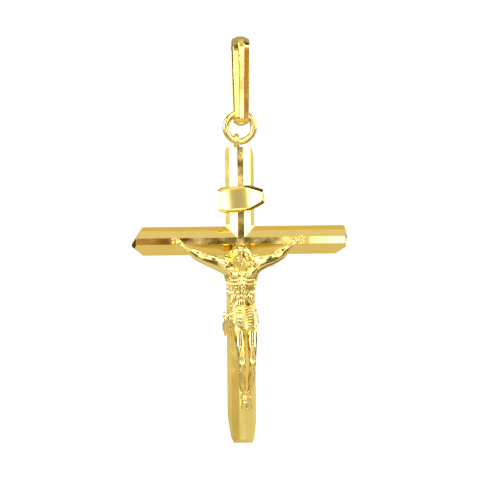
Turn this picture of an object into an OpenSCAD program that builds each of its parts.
// Gold crucifix pendant: a bail, a jump ring and a bevelled cross with a scroll and a corpus on it.
// Millimetres. +Z is up and the front faces -Y. The origin is the inner top of the bail, where a chain sits.
// Below it the bail, the ring and the cross hang in the plane x = 0, and the two hinge axes run along X.

/* [Bail] */
// Height of the bail from its top to its bottom, outside
bail_h = 7.9; // [7:0.1:10]
// Inner radius of the round top, where the chain lies
bail_top_r = 0.88; // [0.75:0.01:1.2]
// Inner radius of the round bottom, in which the ring turns
bail_bottom_r = 0.5; // [0.5:0.01:0.7]
// Width of the strip at the round top
bail_w = 1.5; // [1.3:0.05:1.5]
// Width of the strip at the round bottom
bail_low_w = 1.26; // [1.1:0.02:1.26]
// How far the bail sits to the right of the middle
bail_x = 0.12; // [0:0.01:0.12]
// Thickness of the strip along its middle
bail_t = 0.42; // [0.3:0.01:0.6]
// Thickness of the strip along its two edges
bail_edge_t = 0.2; // [0.15:0.01:0.25]
// Width of the middle facet, between the two bevels
bail_flat_w = 0.5; // [0.3:0.05:0.8]

/* [Jump ring] */
// Outer diameter of the ring
ring_od = 3.05; // [3.05:0.05:3.4]
// Diameter of its wire
ring_wire = 0.58; // [0.5:0.01:0.58]

/* [Eye] */
// Inner radius of the eye, which turns on the wire of the ring
eye_r = 0.37; // [0.37:0.01:0.42]
// Thickness of the eye across its hole
eye_t = 0.28; // [0.24:0.01:0.32]
// Width of the eye along its hole
eye_w = 0.4; // [0.3:0.01:0.45]
// Place of the eye to the left (-) or right (+) of the middle
eye_x = -0.3; // [-0.3:0.05:0]
// How deep the eye is soldered into the top of the upright
eye_sunk = 0.1; // [0.05:0.01:0.15]

/* [Cross] */
// Length of the upright
upright_h = 26.25; // [24:0.1:28]
// Length of the crossbar
bar_w = 19.25; // [17:0.05:21]
// Height of the crossbar's middle below the top of the upright
bar_drop = 8.28; // [7.5:0.01:9]
// Width of both beams
beam_w = 2.52; // [2.4:0.01:2.8]
// Thickness of both beams
beam_t = 1.1; // [1:0.01:1.4]
// Width of the flat facet along the middle of the front
beam_flat_w = 0.6; // [0.5:0.01:1]
// Height of the upright sides below the front bevels
beam_side_t = 0.42; // [0.3:0.01:0.5]
// Chamfer along the two edges of the back
back_chamfer = 0.12; // [0.05:0.01:0.2]
// How far the back of the cross lies behind the hinge axes, for the cross to hang upright
back_y = 0.82; // [0.6:0.01:1]

/* [Scroll] */
// Width of the scroll
scroll_w = 4.1; // [3.8:0.05:4.5]
// Height of the scroll at its middle
scroll_h = 2.3; // [1.8:0.05:2.4]
// Thickness of the scroll
scroll_t = 0.45; // [0.35:0.01:0.6]
// Height of the scroll's middle above the middle of the crossbar
scroll_z = 3.72; // [3.4:0.01:4]
// Angle at which its right end is raised
scroll_lean = 5; // [0:1:8]

/* [Corpus] */
// Radius of the nail shanks and of the scroll's pegs
peg_r = 0.2; // [0.15:0.01:0.25]
// Depth of the shanks and pegs in the cross
peg_depth = 0.5; // [0.3:0.05:0.6]
// Gap between seated pieces, and around shanks and pegs
seat_gap = 0.02; // [0.01:0.005:0.04]

/* [Hidden] */

round_fn = 96;
wire_fn = 48;
blob_fn = 16;
eps = 0.01;

gold = [0.93, 0.76, 0.36];
deep_gold = [0.84, 0.64, 0.26];

// The bail is drawn in a plane of its own: u points down from the inner top and v points back.
bail_low_u = bail_h - bail_t;
bail_c1_u = bail_top_r;
bail_c2_u = bail_low_u - bail_t - bail_bottom_r;
bail_span = bail_c2_u - bail_c1_u;
// Angle between a strand and the middle plane, from the tangents of the two round ends
strand_a = asin((bail_top_r - bail_bottom_r) / bail_span);

// The ring fills the round bottom of the bail: its axis of turning is the middle of what the bail holds.
ring_r = (ring_od - ring_wire) / 2;
ring_inner_r = ring_r - ring_wire / 2;
ring_low_at_edge = sqrt(pow(ring_inner_r, 2) - pow(bail_x + bail_low_w / 2, 2));
ring_axis_above_centre = (ring_od / 2 + ring_low_at_edge) / 2;
ring_axis_z = -bail_c2_u;
ring_z = ring_axis_z - ring_axis_above_centre;

// The wire rises a little across the width of the eye, and the axis is at the middle of that rise.
eye_reach = abs(eye_x) + eye_w / 2;
wire_rise = ring_r - sqrt(pow(ring_r, 2) - pow(eye_reach, 2));
cross_axis_z = ring_z - ring_r + wire_rise / 2;
eye_chamfer = 0.08;

upright_top_z = cross_axis_z - eye_r - eye_t + eye_sunk;
bar_z = upright_top_z - bar_drop;
foot_z = upright_top_z - upright_h;
front_y = back_y - beam_t;

// Outlines of the ends of the beams. Each row is a point: its distance from the end along the beam,
// and its place across the beam as a share of the half width, up or to the right.
left_end = [[0.95, 1], [0, -0.16], [0, -0.36], [1, -1]];
right_end = [[0.25, 1], [0, 0.8], [0, -0.25], [0.15, -0.6], [1.2, -1]];
foot_end = [[2.4, -1], [0.5, -0.77], [0, -0.58], [0, 0.7], [0.4, 0.85], [1.9, 1]];
top_end = [[0.2, -1], [0, -0.85], [0, 0.82], [0.8, 1]];
// How far the front facet is cut back at an end
end_bevel = 0.35;

// The scroll's ends: where each begins and how blunt it is, as shares of its half width and half height
scroll_left_end = [0.78, 0.78];
scroll_right_end = [0.4, 0.54];
scroll_edge_t = 0.2;
scroll_bevel = 0.22;
scroll_pegs = [[0, scroll_z - 0.5], [0, scroll_z + 0.5]];

// Nails: x, z above the crossbar's middle, and how far the head stands in front of the flat facet
nails = [[-5.7, 0, 0.58], [5.05, 0, 0.58], [0.14, -14.3, 0.98]];
nail_head_r = 0.3;

// The figure, part by part from head to foot. Each row is a lump, with its middle and its half sizes:
//  x, lift in front of the flat facet, z above the crossbar's middle, half width, half depth, half height
head = [
    [-0.28, 1.15, -1.0, 0.62, 0.7, 0.6],
    [-0.12, 1.28, -1.55, 0.52, 0.6, 0.55],
    [0.02, 1.35, -2.1, 0.3, 0.34, 0.3]
];
left_hair = [
    [-0.45, 0.95, -1.0, 0.48, 0.5, 0.5],
    [-0.72, 0.85, -1.8, 0.32, 0.4, 0.45],
    [-0.85, 0.8, -2.5, 0.22, 0.3, 0.3]
];
right_hair = [
    [-0.05, 0.95, -0.95, 0.5, 0.5, 0.5],
    [0.5, 0.85, -1.6, 0.3, 0.4, 0.4],
    [0.75, 0.8, -2.4, 0.22, 0.3, 0.3]
];
torso = [
    [0.0, 0.75, -2.2, 0.4, 0.4, 0.35],
    [-0.02, 0.62, -2.85, 1.6, 0.55, 0.5],
    [-0.04, 0.66, -3.5, 1.4, 0.62, 0.6],
    [-0.04, 0.62, -4.4, 1.3, 0.58, 0.5],
    [0.02, 0.55, -5.2, 1.1, 0.5, 0.5],
    [0.05, 0.6, -6.3, 1.15, 0.58, 0.6],
    [0.08, 0.62, -7.2, 1.2, 0.6, 0.5]
];
left_arm = [
    [-1.05, 0.6, -2.3, 0.66, 0.55, 0.9],
    [-1.8, 0.6, -1.98, 0.55, 0.5, 0.76],
    [-3.1, 0.55, -1.58, 0.45, 0.42, 0.52],
    [-4.2, 0.48, -1.1, 0.38, 0.36, 0.42],
    [-5.15, 0.34, -0.45, 0.22, 0.2, 0.22],
    [-5.75, 0.28, 0.05, 0.3, 0.2, 0.24],
    [-6.3, 0.24, 0.25, 0.2, 0.16, 0.16]
];
right_arm = [
    [1.0, 0.6, -2.3, 0.66, 0.55, 0.9],
    [1.75, 0.6, -1.95, 0.5, 0.5, 0.76],
    [2.85, 0.55, -1.52, 0.42, 0.42, 0.54],
    [3.85, 0.48, -1.0, 0.36, 0.36, 0.46],
    [4.6, 0.34, -0.35, 0.22, 0.2, 0.22],
    [5.05, 0.28, 0.05, 0.3, 0.2, 0.24],
    [5.6, 0.24, 0.25, 0.2, 0.16, 0.16]
];
top_fold = [
    [-1.0, 0.7, -5.9, 0.3, 0.5, 0.3],
    [0.1, 0.98, -6.15, 0.4, 0.34, 0.32],
    [0.95, 0.68, -5.8, 0.28, 0.5, 0.3]
];
middle_fold = [
    [-1.15, 0.7, -6.9, 0.34, 0.52, 0.34],
    [0.1, 1.12, -7.2, 0.4, 0.34, 0.36],
    [1.1, 0.68, -6.6, 0.28, 0.5, 0.34]
];
low_fold = [
    [-1.05, 0.7, -7.7, 0.34, 0.5, 0.36],
    [0.1, 1.1, -8.05, 0.42, 0.36, 0.3],
    [1.1, 0.68, -7.6, 0.3, 0.5, 0.5]
];
knot = [
    [-1.3, 0.85, -7.0, 0.36, 0.42, 0.4],
    [-1.55, 0.75, -7.55, 0.34, 0.34, 0.36],
    [-1.3, 0.6, -8.6, 0.2, 0.26, 0.26]
];
left_leg = [
    [-0.36, 0.72, -7.7, 0.6, 0.55, 0.5],
    [-0.26, 1.05, -9.4, 0.5, 0.5, 0.5],
    [-0.12, 1.3, -11.0, 0.42, 0.42, 0.42],
    [-0.08, 1.02, -12.1, 0.38, 0.38, 0.4],
    [0.08, 0.74, -13.5, 0.25, 0.26, 0.26],
    [0.12, 0.7, -14.3, 0.31, 0.24, 0.3],
    [0.14, 0.5, -14.95, 0.3, 0.18, 0.22]
];
right_leg = [
    [0.7, 0.72, -7.7, 0.6, 0.55, 0.5],
    [0.8, 1.0, -9.4, 0.48, 0.5, 0.5],
    [0.8, 1.22, -10.9, 0.42, 0.42, 0.42],
    [0.7, 0.88, -12.0, 0.38, 0.38, 0.4],
    [0.5, 0.44, -13.5, 0.26, 0.26, 0.26],
    [0.52, 0.34, -14.3, 0.31, 0.24, 0.3],
    [0.58, 0.26, -14.9, 0.3, 0.16, 0.22]
];
figure = [
    head, left_hair, right_hair, torso, left_arm, right_arm,
    top_fold, middle_fold, low_fold, knot, left_leg, right_leg
];

// A loop of strip or wire lies in the plane x = 0, with its section drawn outwards from the axis.
module upright_loop_frame() {
    rotate([0, 90, 0]) children();
}

module strip_section() {
    polygon([
        [0, -bail_w / 2],
        [bail_edge_t, -bail_w / 2],
        [bail_t, -bail_flat_w / 2],
        [bail_t, bail_flat_w / 2],
        [bail_edge_t, bail_w / 2],
        [0, bail_w / 2]
    ]);
}

// One straight strand of the bail, which runs a little way into both round ends
module strand() {
    translate([bail_c1_u, 0, 0])
        rotate([0, 0, 90 - strand_a])
            rotate([90, 0, 0])
                translate([bail_top_r, 0, -eps])
                    linear_extrude(bail_span * cos(strand_a) + 2 * eps) strip_section();
}

// A round end of the bail: it turns about u = middle from one strand to the other
module round_end(middle, r, from, span) {
    translate([middle, 0, 0])
        rotate([0, 0, from])
            rotate_extrude(angle = span, $fn = round_fn)
                translate([r, 0]) strip_section();
}

// What the tapered strip keeps, seen from the front: it narrows from the round top to the round bottom
module bail_taper() {
    low = bail_low_w / 2;
    wide = low + (bail_w - bail_low_w) / 2 * (bail_c2_u + bail_h) / bail_span;
    front_outline([[-low, -2 * bail_h], [low, -2 * bail_h], [low, -bail_c2_u],
        [wide, bail_h], [-wide, bail_h], [-low, -bail_c2_u]]);
}

module bail() {
    color(gold) translate([bail_x, 0, 0]) intersection() {
        upright_loop_frame() {
            strand();
            mirror([0, 1, 0]) strand();
            round_end(bail_c1_u, bail_top_r, 90 - strand_a, 180 + 2 * strand_a);
            round_end(bail_c2_u, bail_bottom_r, strand_a - 90, 180 - 2 * strand_a);
        }
        bail_taper();
    }
}

// A closed ring of round wire, seen face-on from the front
module jump_ring() {
    color(gold)
        translate([0, 0, ring_z])
            rotate([90, 0, 0])
                rotate_extrude($fn = round_fn)
                    translate([ring_r, 0]) circle(d = ring_wire, $fn = wire_fn);
}

// The eye is seen edge-on. Its section is a flat wire with its corners taken off.
module eye() {
    inner = eye_r;
    outer = eye_r + eye_t;
    side = eye_w / 2;
    translate([eye_x, 0, cross_axis_z])
        rotate([0, 90, 0])
            rotate_extrude($fn = round_fn)
                polygon([
                    [inner + eye_chamfer, -side],
                    [outer - eye_chamfer, -side],
                    [outer, eye_chamfer - side],
                    [outer, side - eye_chamfer],
                    [outer - eye_chamfer, side],
                    [inner + eye_chamfer, side],
                    [inner, side - eye_chamfer],
                    [inner, eye_chamfer - side]
                ]);
}

// Section of a beam: x across it, y from its back to its front
module beam_section() {
    side = beam_w / 2;
    polygon([
        [back_chamfer - side, 0],
        [side - back_chamfer, 0],
        [side, back_chamfer],
        [side, beam_side_t],
        [beam_flat_w / 2, beam_t],
        [-beam_flat_w / 2, beam_t],
        [-side, beam_side_t],
        [-side, back_chamfer]
    ]);
}

function reversed(rows) = [for (i = [len(rows) - 1 : -1 : 0]) rows[i]];

// A flat outline drawn in x and z, cut through the whole thickness of the pendant
module front_outline(points) {
    rotate([90, 0, 0])
        linear_extrude(6 * beam_t, center = true) polygon(points);
}

module upright() {
    side = beam_w / 2;
    intersection() {
        translate([0, back_y, foot_z])
            mirror([0, 1, 0])
                linear_extrude(upright_h) beam_section();
        front_outline(concat(
            [for (p = foot_end) [p[1] * side, foot_z + p[0]]],
            [for (p = reversed(top_end)) [p[1] * side, upright_top_z - p[0]]]
        ));
        // The front slopes back to the foot.
        rotate([0, 90, 0])
            rotate([0, 0, 90])
                linear_extrude(2 * beam_w, center = true)
                    polygon([
                        [back_y, foot_z],
                        [back_y, upright_top_z],
                        [front_y, upright_top_z],
                        [front_y, foot_z + end_bevel],
                        [front_y + end_bevel, foot_z]
                    ]);
    }
}

module crossbar() {
    side = beam_w / 2;
    end = bar_w / 2;
    intersection() {
        translate([-end, back_y, bar_z])
            rotate([0, -90, 180])
                linear_extrude(bar_w) beam_section();
        front_outline(concat(
            [for (p = left_end) [p[0] - end, bar_z + p[1] * side]],
            [for (p = reversed(right_end)) [end - p[0], bar_z + p[1] * side]]
        ));
        // The front slopes back to both ends.
        translate([0, 0, bar_z])
            linear_extrude(2 * beam_w, center = true)
                polygon([
                    [-end, back_y],
                    [-end, front_y + end_bevel],
                    [end_bevel - end, front_y],
                    [end - end_bevel, front_y],
                    [end, front_y + end_bevel],
                    [end, back_y]
                ]);
    }
}

// A place on the front of the cross: x, how far in front of the flat facet, z above the crossbar's middle
module on_front(x, lift, z) {
    translate([x, front_y - lift, bar_z + z]) children();
}

// A round shank or hole that runs back from the front facet
module shank(r, from_lift, depth, x, z) {
    on_front(x, from_lift, z)
        rotate([-90, 0, 0])
            cylinder(r = r, h = from_lift + depth, $fn = wire_fn);
}

module shank_holes(places) {
    for (p = places)
        shank(peg_r + seat_gap, eps, peg_depth + seat_gap, p.x, p[1]);
}

module cross() {
    color(deep_gold) difference() {
        union() {
            upright();
            crossbar();
            eye();
        }
        shank_holes(nails);
        shank_holes(scroll_pegs);
    }
}

// The scroll is a plate with pointed ends and a bevel all round. Two pegs behind it seat it.
module scroll_plate(inset, thickness) {
    w = scroll_w / 2 - inset;
    h = scroll_h / 2 - inset;
    linear_extrude(thickness)
        polygon([
            [-w * scroll_left_end[0], h],
            [w * scroll_right_end[0], h],
            [w, h * scroll_right_end[1]],
            [w, -h * scroll_right_end[1]],
            [w * scroll_right_end[0], -h],
            [-w * scroll_left_end[0], -h],
            [-w, -h * scroll_left_end[1]],
            [-w, h * scroll_left_end[1]]
        ]);
}

module title_scroll() {
    color(gold) {
        on_front(0, seat_gap, scroll_z)
            rotate([90, -scroll_lean, 0])
                hull() {
                    scroll_plate(0, scroll_edge_t);
                    scroll_plate(scroll_bevel, scroll_t);
                }
        for (p = scroll_pegs)
            shank(peg_r, seat_gap + eps, peg_depth, p.x, p[1]);
    }
}

// One rounded lump of the figure: columns x, lift, z and its three half sizes across, deep and high
module lump(row) {
    on_front(row[0], row[1], row[2])
        scale([row[3], row[4], row[5]]) sphere(1, $fn = blob_fn);
}

// Lumps joined one to the next into a limb, a fold or a lock of hair
module limb(rows) {
    for (i = [0 : len(rows) - 2])
        hull() {
            lump(rows[i]);
            lump(rows[i + 1]);
        }
}

module nail(place) {
    shank(peg_r, place[2], peg_depth, place.x, place[1]);
    on_front(place.x, place[2], place[1])
        scale([1, 0.5, 1]) sphere(nail_head_r, $fn = blob_fn);
}

module corpus() {
    color(gold) union() {
        difference() {
            for (part = figure) limb(part);
            // The back of the casting is flat and lies on the front facets.
            translate([0, front_y - seat_gap + beam_t, bar_z])
                cube([2 * bar_w, 2 * beam_t, 2 * upright_h], center = true);
        }
        for (place = nails) nail(place);
    }
}

bail();
jump_ring();
cross();
title_scroll();
corpus();
